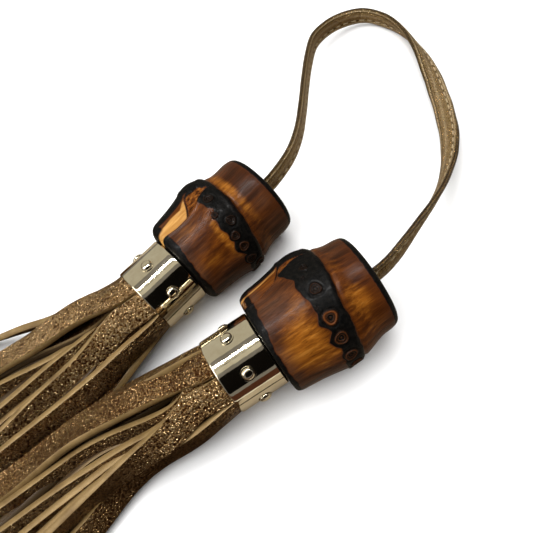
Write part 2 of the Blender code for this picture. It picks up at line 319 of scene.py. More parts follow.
def bamboo_material(name, shift):
    """Flame-scorched bamboo root under lacquer, with the masks of head_masks. shift moves the grain."""
    m = Nodes(name)
    along = m.local((48.0, 760.0, 760.0))
    offset = m.add("VectorMath", {0: along, 1: (shift, 0.0, 0.0)}, operation="ADD").outputs["Vector"]
    streak = m.noise(offset, 1.0, 4.0, 0.58, 0.12)
    patch = m.noise(m.local((34.0, 120.0, 120.0)), 1.0, 3.0, 0.55, 0.4)
    fibre = m.noise(m.local((150.0, 3400.0, 3400.0)), 1.0, 2.0, 0.5)
    tone = m.plus(m.math("MULTIPLY", streak, 0.54), patch, 0.46)
    darkened_tone = m.plus(tone, m.value("dusk"), -0.17)
    brown = m.ramp(darkened_tone, (0.22, (0.007, 0.0024, 0.0009)), (0.38, (0.034, 0.0085, 0.0018)),
                   (0.52, (0.092, 0.025, 0.0034)), (0.70, (0.21, 0.064, 0.0075)))
    honey = m.ramp(streak, (0.28, (0.12, 0.034, 0.0035)), (0.52, (0.235, 0.078, 0.008)),
                   (0.76, (0.36, 0.145, 0.022)))
    honey_edge = m.plus(m.value("honey"), m.math("SUBTRACT", tone, 0.5), 0.8)
    colour = m.mix(m.span(honey_edge, 0.15, 0.90), brown, honey)
    thread = m.ramp(fibre, (0.35, (0.80, 0.80, 0.80)), (0.65, (1.12, 1.10, 1.06)))
    # Painted sheen: in the darker zones a grey-brown tint is mixed in for the grey sheen on the lacquer.
    painted_sheen = m.math("MULTIPLY", m.value("dusk"), m.span(patch, 0.35, 0.7, 0.10, 0.42))
    colour = m.mix(painted_sheen, colour, (0.155, 0.080, 0.048))
    colour = m.mix(1.0, colour, thread, "MULTIPLY")
    flecks = m.noise(m.local((260.0, 2300.0, 2300.0)), 1.0, 2.0, 0.6)
    colour = m.mix(m.span(flecks, 0.60, 0.72, 0.0, 0.42), colour, (0.020, 0.006, 0.0015))
    rough_wood = m.noise(m.local((420.0, 1500.0, 1500.0)), 1.0, 4.0, 0.7)
    raw = m.ramp(rough_wood, (0.34, (0.014, 0.004, 0.001)), (0.47, (0.11, 0.030, 0.005)),
                 (0.62, (0.27, 0.092, 0.016)), (0.80, (0.46, 0.20, 0.045)))
    colour = m.mix(m.span(m.value("raw"), 0.35, 0.6), colour, raw)
    tan = m.ramp(streak, (0.3, (0.30, 0.13, 0.026)), (0.7, (0.56, 0.30, 0.085)))
    colour = m.mix(m.span(m.value("flat_cut"), 0.35, 0.65), colour, tan)
    speck = m.noise(m.local((1.0, 1.0, 1.0)), 900.0, 3.0, 0.7)
    soot = m.ramp(speck, (0.45, (0.0018, 0.0017, 0.0016)), (0.80, (0.009, 0.0075, 0.006)))
    rings = m.math("SINE", m.math("MULTIPLY", m.value("scar"), 17.0))
    ring_colour = m.ramp(m.plus(m.math("MULTIPLY", rings, 0.5), speck, 0.6), (0.35, (0.004, 0.003, 0.0022)),
                         (0.90, (0.052, 0.018, 0.006)))
    soot = m.mix(m.value("ring_tint"), soot, ring_colour)
    soot = m.mix(m.value("orange_ring"), soot, (0.17, 0.050, 0.012))
    char_edge = m.plus(m.value("char"), m.math("SUBTRACT", streak, 0.5), 0.35)
    charred = m.span(char_edge, 0.42, 0.60)
    scorch = m.span(char_edge, 0.05, 0.55)
    colour = m.mix(scorch, colour, (0.055, 0.016, 0.005))
    colour = m.mix(charred, colour, soot)
    m.set(Base_Color=colour, Roughness=m.span(charred, 0.0, 1.0, 0.30, 0.46), Specular_IOR_Level=0.05,
          Coat_Weight=0.02, Coat_Roughness=0.14)
    coarse = m.bump(m.plus(streak, fibre, 0.35), 0.22, 0.0006)
    ringed = m.bump(m.math("MULTIPLY", rings, m.value("ring_tint")), 0.55, 0.0004, coarse)
    pitted = m.bump(m.math("MULTIPLY", rough_wood, m.value("raw")), 0.9, 0.0012, ringed)
    sooty = m.bump(m.math("MULTIPLY", speck, charred), 0.30, 0.0005, pitted)
    m.set(Normal=sooty)
    return m.material


def polished_metal(name):
    """Mirror-polished pale gold, with faint drawing lines and a little haze."""
    m = Nodes(name)
    lines = m.noise(m.place((90.0, 3000.0, 3000.0)), 1.0, 2.0, 0.6)
    haze = m.noise(m.place(), 240.0, 3.0, 0.6)
    colour = m.ramp(haze, (0.35, (0.72, 0.63, 0.47)), (0.65, (0.80, 0.72, 0.56)))
    m.set(Base_Color=colour, Metallic=1.0, Roughness=m.span(haze, 0.35, 0.75, 0.035, 0.085))
    m.set(Normal=m.bump(lines, 0.025, 0.0002))
    return m.material


def leather_material(name, peak, valley, metal, grain, folds, seam_lines=(), painted_highlight_lines=()):
    """Pebbled leather with a metallic coat. Its colour is paler on the tops of the grain, partly wear of the coat and
    partly a painted glint, and darker in the hollows.

    grain is cells to a metre, and folds the creases to a metre along and across. seam_lines are the dark lines pressed
    along the piece, and the last argument holds painted highlights, bright lines along the piece where its edges and
    the middle of its face catch the light: each (distance across in mm, half width, strength).
    """
    m = Nodes(name)
    place = m.place()
    wobble = m.noise(place, 700.0, 2.0, 0.5)
    shift = m.add("CombineXYZ", {"X": wobble, "Y": wobble, "Z": wobble}).outputs["Vector"]
    shift = m.add("VectorMath", {0: shift, 1: (0.0009, 0.0009, 0.0009)}, operation="MULTIPLY").outputs["Vector"]
    bent = m.add("VectorMath", {0: place, 1: shift}, operation="ADD").outputs["Vector"]
    cell = m.cells(bent, grain, "SMOOTH_F1")
    small = m.cells(bent, grain * 2.1)
    patch = m.noise(place, 120.0, 3.0, 0.6)
    height = m.math("SUBTRACT", 1.0, m.plus(cell, small, 0.35))
    shade = m.plus(m.plus(height, m.math("SUBTRACT", patch, 0.5), 0.35), m.value("tone"), 0.12)
    # The colour follows the height of the grain: the pale peak on the tops is partly a painted glint, and the hollows
    # are darker.
    middle = tuple(p**0.64 * v**0.36 for p, v in zip(peak, valley))
    colour = m.ramp(shade, (0.22, valley), (0.50, middle), (0.78, peak))
    across = m.value("across")
    # dark colours the seam lines; bright is the colour of the painted highlight lines.
    dark, bright = tuple(0.35 * v for v in valley), tuple(p**0.5 for p in peak)
    for lines, line_colour in ((seam_lines, dark), (painted_highlight_lines, bright)):
        for distance, half_width, strength in lines:
            away = m.math("ABSOLUTE", m.math("SUBTRACT", across, distance * MM))
            colour = m.mix(m.span(away, 0.0, half_width * MM, strength, 0.0), colour, line_colour)
    m.set(Base_Color=colour, Metallic=metal, Roughness=m.span(height, 0.3, 0.7, 0.42, 0.19),
          Specular_IOR_Level=0.5)
    folded = m.add("CombineXYZ", {"X": m.math("MULTIPLY", m.value("run"), folds[0]),
                                  "Y": m.math("MULTIPLY", across, folds[1]), "Z": m.value("tone")})
    gathered = m.math("MULTIPLY", m.noise(folded.outputs["Vector"], 1.0, 3.0, 0.6, 0.6), m.value("crease"))
    fine = m.bump(height, 1.0, 0.00052)
    m.set(Normal=m.bump(gathered, 0.9, 0.0012, fine))
    return m.material


def cut_edge_material():
    """The sliced edge of the leather: smooth, tan and matt, with painted shade that makes it dark on the strands deep
    in the bundle.
    """
    m = Nodes("cut_edge")
    fibre = m.noise(m.place(), 2600.0, 3.0, 0.7)
    patch = m.noise(m.place(), 150.0, 2.0, 0.5)
    tone = m.plus(m.math("MULTIPLY", fibre, 0.45), patch, 0.55)
    colour = m.ramp(tone, (0.32, (0.115, 0.066, 0.021)), (0.5, (0.185, 0.117, 0.042)),
                    (0.7, (0.27, 0.178, 0.072)))
    # Painted shade: where the tone value is low, on strands deep in the bundle, the edge goes near black.
    deep = m.span(m.value("tone"), -1.2, -0.7, 0.88, 0.0)
    colour = m.mix(deep, colour, (0.018, 0.008, 0.002))
    m.set(Base_Color=colour, Metallic=0.25, Roughness=0.52, Specular_IOR_Level=0.35)
    m.set(Normal=m.bump(fibre, 0.25, 0.0002))
    return m.material


def groove_material():
    """The raw edges between the strap's two lips, painted near black as the shade in the groove they face."""
    m = Nodes("strap_groove")
    fibre = m.noise(m.place(), 2200.0, 3.0, 0.7)
    m.set(Base_Color=m.ramp(fibre, (0.3, (0.006, 0.003, 0.0015)), (0.7, (0.030, 0.016, 0.007))), Roughness=0.7,
          Normal=m.bump(fibre, 0.4, 0.0002))
    return m.material


def thread_material():
    m = Nodes("stitch_thread")
    twist = m.add("TexWave", {"Vector": m.place(), "Scale": 900.0, "Distortion": 2.0}).outputs["Fac"]
    colour = m.ramp(twist, (0.2, (0.30, 0.225, 0.125)), (0.8, (0.52, 0.41, 0.25)))
    m.set(Base_Color=colour, Roughness=0.5, Metallic=0.15, Normal=m.bump(twist, 0.5, 0.0001))
    return m.material


def raw_leather_material():
    m = Nodes("raw_leather_roll")
    place = m.local()
    nap = m.noise(place, 1800.0, 4.0, 0.7)
    colour = m.ramp(nap, (0.3, (0.12, 0.07, 0.035)), (0.7, (0.34, 0.22, 0.12)))
    m.set(Base_Color=colour, Roughness=0.85, Normal=m.bump(nap, 0.5, 0.0004))
    return m.material


def plain_strap_material():
    m = Nodes("strap_leather_inside")
    grain = m.cells(m.local(), 1700.0)
    colour = m.ramp(grain, (0.1, (0.36, 0.25, 0.12)), (0.7, (0.12, 0.075, 0.03)))
    m.set(Base_Color=colour, Metallic=0.5, Roughness=0.45, Normal=m.bump(grain, 0.5, 0.0002))
    return m.material


# ---- bamboo heads

HEAD_OUTLINE = {
    "a": [(8.3, 11.6), (8.8, 13.75), (9.5, 14.6), (12, 15.1), (17, 15.5), (23, 16.65), (26.5, 17.5), (30, 16.9),
        (34, 15.5), (38, 15), (43.8, 14.8), (45, 14.2), (45.6, 13.2)],
    "b": [(8.3, 13.4), (8.8, 15.5), (9.5, 15.9), (12, 16.3), (17, 16.75), (23, 17.8), (26.5, 18.3), (31, 17.9),
        (35, 16.8), (38, 15.9), (42.6, 15.4), (44.1, 14.7), (44.8, 13.4)],
}
TENON = [(8.3, 6.0), (-3.0, 6.0), (-3.0, 4.2)]
# End face and rim of the bore, as (along from the mouth, radius).
BORE = [(0.05, 12.4), (-0.05, 9.5), (-0.05, 6.2), (0.0, 5.5), (-0.5, 4.75), (-1.3, 4.25), (-4.0, 4.2)]
HEAD_COLUMNS = 330
# Distance between rows along the outline, finer across the node.
ROW_STEP, NODE_ROW_STEP = 0.42, 0.26
NODE_SPAN = (21.0, 34.5)
# Rows at each end of the outline over which the carved heights fade in.
FADE_ROWS = 4.0
# How close a round piece may come to the table.
TABLE_GAP = 0.03

# Root scars round the node: (t, angle, radius, rings seen inside, orange ring).
ROOT_SCARS = {
    "a": [(27.9, 94, 1.7, 0.4, 0), (25.5, 113, 1, 0.3, 0.15), (28, 128, 1.7, 0.4, 0), (25.8, 143, 1.5, 0.4, 0.12),
        (25.9, 158, 1.7, 0.6, 0.2), (25.5, 177, 1.8, 0.5, 0.05), (27.6, 194, 1.7, 0.5, 0.2), (26, 212, 1.9, 0.6, 0.3),
        (27.2, 229, 1.6, 0.5, 0.3), (25.8, 247, 1.8, 0.6, 0.2), (27.5, 266, 1.5, 0.5, 0.4),
        (26.3, 285, 1.8, 0.6, 0.2), (27, 306, 1.7, 0.5, 0.3), (26.2, 326, 1.5, 0.4, 0.3)],
    "b": [(28.9, 74, 1.2, 0.3, 0), (26.9, 84, 0.7, 0.2, 0), (28.2, 100, 1.8, 0.35, 0.05), (25.5, 115, 0.6, 0.2, 0),
        (27.2, 128, 2.1, 0.7, 1), (26.8, 149, 2.1, 1, 0.25), (26.8, 172, 2.1, 1, 0.3), (27.4, 192, 1.9, 0.7, 0.4),
        (26.4, 211, 1.7, 0.6, 0.4), (27.6, 229, 2, 0.8, 0.4), (26.2, 249, 1.7, 0.5, 0.3), (27.2, 268, 1.9, 0.7, 0.4),
        (26.5, 288, 1.6, 0.5, 0.3), (27.3, 309, 1.8, 0.6, 0.4)],
}
# Edges of the charred node band, as (angle, t): strap side, then collar side.
NODE_STRAP_EDGE = {
    "a": [(0, 32.6), (56, 33), (81, 32.9), (110, 32.7), (134, 31.8), (156, 30.7), (188, 29.6), (240, 30.8),
        (300, 32.2), (360, 32.6)],
    "b": [(0, 33.2), (47, 34.1), (73, 34.2), (94, 33.8), (111, 32.6), (123, 32), (144, 31.6), (164, 30.8),
        (200, 30.2), (260, 31.4), (320, 32.8), (360, 33.2)],
}
NODE_COLLAR_EDGE = {
    "a": [(0, 24.6), (40, 23), (80, 25.4), (100, 25.5), (107, 26.1), (118, 24.7), (132, 23.9), (145, 24.3),
        (160, 23.2), (168, 24.8), (200, 24), (235, 25.2), (280, 23.8), (320, 25), (360, 24.6)],
    "b": [(0, 24.2), (40, 22.6), (66, 21.9), (82, 24.5), (92, 24.1), (104, 24.3), (119, 24.9), (129, 23.6),
        (139, 25.2), (147, 23.1), (158, 25.5), (170, 24.4), (200, 24.8), (240, 23.6), (290, 25), (360, 24.2)],
}
END_BAND = {
    "a": [(0, 11.6), (90, 11.4), (121, 10.7), (142, 9.6), (200, 10.4), (290, 11.2), (360, 11.6)],
    "b": [(0, 11.8), (69, 11.8), (100, 11), (133, 9.6), (200, 10.2), (290, 11.4), (360, 11.8)],
}
# Cut flat beside the old branch: (t, angle) of its crisp edge and of its soft edge.
FLAT_CRISP = {
    "a": [(9.5, 83), (14.4, 87), (19.6, 88), (24.7, 85), (30.4, 77)],
    "b": [(8.4, 67), (14, 70), (19.4, 65), (21.9, 60), (27.8, 53), (30.8, 51)],
}
FLAT_SOFT = {
    "a": [(10, 71), (15.7, 68), (19.7, 71), (23.8, 61), (26.9, 65), (29, 63), (30.5, 72)],
    "b": [(8.4, 44), (14, 42), (20, 38), (26, 38), (30.8, 46)],
}
FLAT_DEPTH = {"a": 1.7, "b": 1.5}
FLAT_END = {"a": 31.2, "b": 31.6}
RAW_FROM = {"a": 20.0, "b": 20.5}
BRANCH_ANGLE = {"a": 50.0, "b": 27.0}
# Light honey zones: (t, angle, spread along, spread round, strength).
HONEY = {
    "a": [(35, 100, 1.6, 42, 0.85), (23.2, 138, 1.5, 26, 0.75), (15.5, 104, 4.5, 9, 0.4), (16.5, 150, 4, 10, 0.45),
        (34.2, 230, 2, 60, 0.55), (17, 250, 5, 24, 0.5), (16, 320, 4, 14, 0.4)],
    "b": [(18, 140, 5.2, 26, 0.95), (36.8, 130, 2.8, 16, 0.8), (20.5, 108, 3, 12, 0.55), (36, 86, 2.2, 10, 0.35),
        (38, 162, 4, 16, 0.35), (17, 215, 5, 24, 0.6), (36, 235, 3, 35, 0.5), (16, 300, 4, 18, 0.45)],
}
# Darker zones, in the same form. The bamboo material also mixes a grey-brown tint into them as a painted sheen.
DUSK = {
    "a": [(40.5, 100, 4.5, 60, 0.75), (14, 97, 6, 12, 0.85), (18, 182, 9, 14, 0.95), (40, 180, 6, 26, 0.9),
        (15, 128, 3, 9, 0.45), (38, 20, 6, 30, 0.7), (16, 20, 8, 20, 0.8)],
    "b": [(15.5, 84, 7, 16, 0.95), (40.5, 62, 5, 26, 0.7), (17, 188, 9, 12, 0.8), (40, 184, 6, 18, 0.3),
        (21, 100, 2.5, 8, 0.6), (38, 340, 6, 30, 0.7), (16, 0, 8, 20, 0.8)],
}


def by_angle(table, angle):
    angles, values = zip(*table)
    return np.interp(np.mod(angle, 360.0), angles, values)


def by_run(table, run):
    runs, values = zip(*table)
    return np.interp(run, runs, values)


def turn_gap(angle, middle):
    return np.mod(angle - middle + 180.0, 360.0) - 180.0


def sigmoid(x):
    return 1.0 / (1.0 + np.exp(-np.clip(x, -30.0, 30.0)))


def zones(table, t, angle, least):
    """The strongest of the soft patches at each place, and nowhere under least."""
    for middle, turn, along_spread, round_spread, strength in table:
        patch = bump_at(t, middle, along_spread * 1.3) * bump_at(turn_gap(angle, turn), 0.0, round_spread * 1.3)
        least = np.maximum(least, strength * patch)
    return least


def head_rows(letter):
    """Points of the outline at close, even steps, closest across the node. Returns rows of (t, radius)."""
    at = clamped_spline(HEAD_OUTLINE[letter], (0.2, 1.0), (0.35, -1.0))
    fine = np.array([at(i / 3000.0) for i in range(3001)])
    rows, last = [fine[0]], fine[0]
    for point in fine[1:]:
        step = NODE_ROW_STEP if NODE_SPAN[0] < point[0] < NODE_SPAN[1] else ROW_STEP
        if np.linalg.norm(point - last) >= step:
            rows.append(point)
            last = point
    rows.append(fine[-1])
    return np.array(rows)


def head_masks(letter, t, angle, radius):
    """Heights in mm and paint masks of the outside at these places, all from formulas."""
    # Root scars: discs with a raised rim and a moat round them.
    scar = np.full(t.shape, 9.0)
    ring_tint, orange, height, discs = (np.zeros(t.shape) for _ in range(4))
    for middle, turn, size, rings, tint in ROOT_SCARS[letter]:
        arc = np.radians(turn_gap(angle, turn)) * radius
        wobble = 1.0 + 0.07 * np.sin(3.0 * np.arctan2(arc, t - middle) + turn)
        away = np.hypot(t - middle, arc) / (size * wobble)
        scar = np.minimum(scar, away)
        inside = sigmoid((1.02 - away) / 0.05)
        ring_tint = np.maximum(ring_tint, inside * rings)
        orange = np.maximum(orange, tint * bump_at(away, 0.80, 0.13))
        height += 0.30 * bump_at(away, 0.80, 0.17) - 0.24 * bump_at(away, 0.0, 0.42) - 0.26 * bump_at(away, 1.18, 0.13)
        discs = np.maximum(discs, sigmoid((1.25 - away) / 0.10))
    # The charred band over the node, raised along both edges.
    strap_edge, collar_edge = by_angle(NODE_STRAP_EDGE[letter], angle), by_angle(NODE_COLLAR_EDGE[letter], angle)
    ragged = 0.28 * np.sin(np.radians(angle * 11)) + 0.17 * np.sin(np.radians(angle * 27 + 60))
    band = sigmoid(np.minimum(t - collar_edge - ragged, strap_edge - t + 0.5 * ragged) / 0.28)
    char = np.maximum(band, discs)
    height += 0.32 * bump_at(t, strap_edge - 1.0, 0.9) - 0.40 * bump_at(t, strap_edge + 0.5, 0.5)
    height += 0.25 * bump_at(t, collar_edge + 0.6, 0.8)
    # Soot at the collar's end and at the mouth.
    end_band = by_angle(END_BAND[letter], angle)
    char = np.maximum(char, sigmoid((end_band + 0.6 * ragged - t) / 0.35))
    mouth = TASSELS[letter]["mouth"]
    char = np.maximum(char, sigmoid((t - (mouth - 1.9)) / 0.45))
    char = np.maximum(char, 0.36 * sigmoid((t - (mouth - 4.4)) / 0.9))
    # The cut flat. share is 0 at its crisp edge and 1 at its soft one; its strap end is a hollow of raw wood.
    crisp, soft = by_run(FLAT_CRISP[letter], t), by_run(FLAT_SOFT[letter], t)
    along = sigmoid((t - 7.0) / 0.3) * sigmoid((FLAT_END[letter] - t) / 0.35)
    from_crisp = turn_gap(crisp, angle)
    share = from_crisp / np.maximum(crisp - soft, 3.0)
    face = sigmoid(from_crisp / 0.45) * sigmoid((1.0 - share) / 0.08) * along
    deeper = 1.0 + 0.45 * sigmoid((t - RAW_FROM[letter]) / 0.6)
    slope = sigmoid(from_crisp / 0.45) * np.clip(1.0 - share, 0, 1) ** 0.8 * (share > -0.5)
    height -= FLAT_DEPTH[letter] * deeper * slope * along
    height += 0.35 * bump_at(from_crisp, -2.5, 2.2) * along
    leaf = RAW_FROM[letter] - 1.5 + 5.0 * np.clip(share, 0.0, 1.0)
    hollow = sigmoid((t - leaf) / 0.25) * sigmoid((0.93 - share) / 0.02)
    crack = np.clip(4.0 * hollow * (1.0 - hollow), 0.0, 1.0)
    raw = face * hollow * (1.0 - crack)
    flat_cut = face * (1.0 - hollow) * (1.0 - crack)
    if letter == "b":
        lines = bump_at(share, 0.0, 0.10) + 0.8 * bump_at(share, 0.93, 0.10)
        lines = lines + 0.6 * bump_at(t, 9.3, 1.2) * (share < 1.0)
        flat_cut = flat_cut * np.clip(lines, 0.0, 1.0)
    # The charred swelling where the branch was, beside the flat.
    swell = bump_at(turn_gap(angle, BRANCH_ANGLE[letter]), 0.0, 15.0)
    swell = swell * sigmoid((t - 9.5) / 1.2) * sigmoid((33.0 - t) / 0.9)
    height += 1.3 * swell * (1.0 - face)
    char = np.maximum(char, sigmoid((swell - 0.42) / 0.09))
    char = char * (1.0 - np.maximum(raw, flat_cut))
    char = np.maximum(char, 0.75 * crack * face)
    height += 0.10 * np.sin(np.radians(angle * 5 + t * 9)) * bump_at(t, 20.0, 14.0)
    honey = zones(HONEY[letter], t, angle, np.zeros(t.shape))
    # The darker zones, and darker beside the collar's end band. The material also paints a grey sheen into them.
    dusk = zones(DUSK[letter], t, angle, 0.75 * bump_at(t, end_band, 3.4))
    return height, dict(char=char, honey=honey, raw=raw, flat_cut=flat_cut, scar=np.minimum(scar, 2.0),
                        ring_tint=ring_tint, orange_ring=np.clip(orange, 0, 1) * 0.8, dusk=dusk)


def bamboo_head(letter, material):
    outside = head_rows(letter)
    turns = np.arange(HEAD_COLUMNS) * 360.0 / HEAD_COLUMNS
    t, angle = np.meshgrid(outside[:, 0], turns, indexing="ij")
    radius = np.repeat(outside[:, 1:2], HEAD_COLUMNS, axis=1)
    height, masks = head_masks(letter, t, angle, radius)
    fade = np.minimum(1.0, np.arange(len(outside)) / FADE_ROWS)
    radius = radius + height * (fade * fade[::-1])[:, None]
    below = np.maximum(-np.sin(np.radians(angle)), 1e-3)
    radius = np.minimum(radius, (TASSELS[letter]["centre"][2] - TABLE_GAP) / below)
    mouth = TASSELS[letter]["mouth"]
    inside = [(mouth + deeper, rim) for deeper, rim in BORE] + [(20.0, 4.2)] + TENON[::-1] + [(8.3, 9.0)]
    rest = np.array(inside)
    rest_t, rest_radius = (np.repeat(rest[:, i:i + 1], HEAD_COLUMNS, axis=1) for i in (0, 1))
    t, radius = np.concatenate([t, rest_t]), np.concatenate([radius, rest_radius])
    around = np.radians(turns)
    points = np.stack([t, radius * np.cos(around), radius * np.sin(around)], axis=-1)
    values = {name: np.concatenate([mask, np.zeros(rest_t.shape)]) for name, mask in masks.items()}
    hidden = len(outside)
    values["char"][hidden:] = 0.9
    values["char"][hidden + 1:hidden + 3] = 0.40  # the end face round the mouth
    values["scar"][hidden:] = 2.0
    parts = MeshParts()
    parts.add_tube(points, closed=True, caps=(False, False), **values)
    head = parts.build("bamboo_" + letter, [material], sharp=math.radians(65))
    head.matrix_world = Matrix.Translation(Vector(TASSELS[letter]["centre"]) * MM) @ Matrix.Rotation(
        math.radians(TASSELS[letter]["heading"]), 4, "Z")
    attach(head, "head_" + letter)
    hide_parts("bamboo_head_" + letter)
    return head


# ---- collars and pins

HALF_COLLAR = [(3.0, 12.0), (6.9, 12.02), (7.55, 12.0), (7.86, 11.9), (8.02, 11.68), (8.0, 11.42), (7.75, 11.22),
               (7.2, 11.2)]
COLLAR_OUTLINE = [(-along, radius) for along, radius in reversed(HALF_COLLAR)] + HALF_COLLAR
COLLAR_COLUMNS, PIN_COLUMNS = 144, 32
PINS = 6
PIN_FIRST_ANGLE = {"a": 27.0, "b": 15.0}
PIN_OUTLINE = [(10.4, 0.6), (11.85, 0.6), (11.9, 2.15), (12.05, 2.24), (12.17, 2.20), (12.22, 2.05), (12.20, 1.86),
               (12.34, 1.80), (12.62, 1.62), (12.85, 1.32), (13.00, 0.95), (13.09, 0.55), (13.13, 0.2)]


def turned(parts, origin, axis, outline, columns, closed=False):
    """Adds a shape turned about an axis. The outline is (along, radius)."""
    axis = unit(axis)
    first = unit(np.cross(axis, UP if abs(axis[2]) < 0.9 else (1.0, 0.0, 0.0)))
    second = np.cross(axis, first)
    turns = np.arange(columns) * 2 * math.pi / columns
    spokes = np.cos(turns)[:, None] * first + np.sin(turns)[:, None] * second
    rings = [np.array(origin) + along * axis + radius * spokes for along, radius in outline]
    parts.add_tube(rings, closed=closed, caps=(not closed, not closed))


def collar(letter, material):
    parts = MeshParts()
    turned(parts, TASSELS[letter]["centre"], axis_of(letter), COLLAR_OUTLINE, COLLAR_COLUMNS, closed=True)
    sleeve = parts.build("polished_collar_" + letter, [material], sharp=math.radians(60))
    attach(sleeve, "head_" + letter)
    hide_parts("collar_" + letter)
    for number in range(1, PINS + 1):
        angle = math.radians(PIN_FIRST_ANGLE[letter] + 360.0 / PINS * (number - 1))
        direction = math.cos(angle) * side_of(letter) + math.sin(angle) * UP
        parts = MeshParts()
        turned(parts, TASSELS[letter]["centre"], direction, PIN_OUTLINE, PIN_COLUMNS)
        pin = parts.build(f"dome_pin_{letter}_{number}", [material], sharp=math.radians(50))
        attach(pin, "head_" + letter)
        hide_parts(f"collar_pin_{letter}_{number}")


# ---- strap

STRAP_ROUTE = [
    (92.2, 22.2, 16.5), (103.7, 33.3, 14.6), (117.6, 50.5, 11.4), (126.9, 61.2, 9.5), (135.9, 68.7, 7.7),
    (146.0, 70.3, 6.3), (156.4, 66.3, 4.8), (161.0, 56.9, 4.0), (160.8, 43.0, 3.8), (158.5, 34.5, 3.8),
    (152.7, 20.8, 3.8), (147.0, 9.8, 4.0), (135.4, -7.9, 6.3), (124.9, -18.4, 9.0), (114.7, -25.3, 11.8),
    (100.7, -31.7, 15.4),
]
# Twist about its own run, as (fraction of its length, degrees). At 0 the stitched edge is down.
STRAP_TWIST = [(0.0, 0.0), (0.46, 0.0), (0.52, 22.0), (0.61, 70.0), (0.70, 100.0), (0.81, 145.0), (0.95, 178.0),
               (1.0, 180.0)]
STRAP_ROW_STEP = 0.8
# How far from a mouth the strap is gathered, and the place of its quickest twist as a share of its length.
PINCH_RUN, QUICK_TWIST = 26.0, 0.62
STITCH_PITCH = 3.5
# A stitch's start and end as shares of its pitch, and its distance across the strap.
STITCH_SPAN = (0.06, 0.78)
STITCH_LINE = 1.8
# Lengths at a mouth: the end piece, how far it goes into the head, and how far the line is known there.
END_RUN, END_INSIDE, LINE_INSIDE = 6.0, 1.7, 2.5
# Middle and half length of the bend where the loop meets its end piece; strap() finds three places on the line there
# and does nothing with them.
BEND_RUN, BEND_HALF = 11.0, 4.0
# Half section of the strap, as (across, out of the face), from the fold to the groove between the lips.
STRAP_SECTION = [(-3.50, 0.0), (-3.42, 0.36), (-3.15, 0.66), (-2.6, 0.90), (-1.8, 1.06), (-0.8, 1.14), (0.2, 1.10),
                 (1.0, 0.96), (1.4, 0.82), (1.65, 0.70), (1.8, 0.66), (1.95, 0.70), (2.25, 0.84), (2.7, 0.94),
                 (3.1, 0.90), (3.38, 0.74), (3.46, 0.50), (3.34, 0.26), (3.0, 0.04)]


class StrapRun:
    """The strap's line between the two mouths, and on into each head, by distance in millimetres."""

    def __init__(self):
        start, end = on_axis("a", TASSELS["a"]["mouth"]), on_axis("b", TASSELS["b"]["mouth"])
        at = clamped_spline([start] + STRAP_ROUTE + [end], axis_of("a"), -axis_of("b"))
        points = np.array([at(i / 2000) for i in range(2001)])
        inward = [start - axis_of("a") * bundle_shade for bundle_shade in (LINE_INSIDE, 1.2)]
        onward = [end - axis_of("b") * bundle_shade for bundle_shade in (1.2, LINE_INSIDE)]
        self.points = np.concatenate([inward, points, onward])
        steps = np.linalg.norm(np.diff(self.points, axis=0), axis=1)
        self.run = np.concatenate([[0.0], np.cumsum(steps)]) - LINE_INSIDE
        self.length = self.run[-1] - LINE_INSIDE

    def place(self, run):
        return np.array([np.interp(run, self.run, self.points[:, axis]) for axis in range(3)])

    def frame_at(self, run):
        """Place, direction of travel, and the width direction from the folded edge to the stitched edge."""
        travel = unit(self.place(run + 0.8) - self.place(run - 0.8))
        fractions, degrees = zip(*STRAP_TWIST)
        turn = math.radians(float(np.interp(run / self.length, fractions, degrees)))
        down = -unit(UP - travel * float(UP @ travel))
        width = math.cos(turn) * down + math.sin(turn) * np.cross(UP, travel)
        return self.place(run), travel, unit(width - travel * float(width @ travel))


def strap_pinch(run, length):
    """How strongly the leather is gathered here: near a mouth, and where the twist is quickest."""
    near_end = min(run, length - run)
    return max(0.0, 1.0 - near_end / PINCH_RUN) + 0.55 * float(bump_at(run / length, QUICK_TWIST, 0.07)) + 0.12


def strap_piece(name, line, run_from, run_to, materials):
    section = STRAP_SECTION + [(across, -out) for across, out in reversed(STRAP_SECTION[1:])]
    count = max(6, int(round((run_to - run_from) / STRAP_ROW_STEP)))
    rows, runs, creases = [], [], []
    for run in np.linspace(run_from, run_to, count + 1):
        place, travel, width = line.frame_at(run)
        out = np.cross(travel, width)
        pinch = strap_pinch(run, line.length)
        ripple = 0.10 * pinch * math.sin(run * 2.35) + 0.06 * pinch * math.sin(run * 1.31 + 1.0)
        edge_wave = 0.07 * math.sin(run * 0.45)
        ring = []
        for across, rise in section:
            swell = rise * (1.0 + ripple * max(0.0, 1.0 - abs(across) / 4.5))
            ring.append(place + width * (across + edge_wave * abs(across) / 3.5) + out * swell)
        rows.append(ring)
        runs.append(run)
        creases.append(pinch)
    in_groove = [across > 3.0 and abs(rise) < 0.70 for across, rise in section]
    groove = [int(here and after) for here, after in zip(in_groove, in_groove[1:] + in_groove[:1])]
    parts = MeshParts()
    parts.add_tube(rows, kinds=groove, run=np.array(runs)[:, None] * MM,
                   across=np.array([across for across, _ in section])[None, :] * MM, tone=0.0,
                   crease=np.array(creases)[:, None])
    number = math.ceil((run_from + 0.5) / STITCH_PITCH)
    while (number + STITCH_SPAN[1]) * STITCH_PITCH < run_to - 0.3:
        stitch_from, stitch_to = ((number + share) * STITCH_PITCH for share in STITCH_SPAN)
        for face in (1.0, -1.0):
            add_stitch(parts, line, stitch_from, stitch_to, face)
        number += 1
    return parts.build(name, materials)


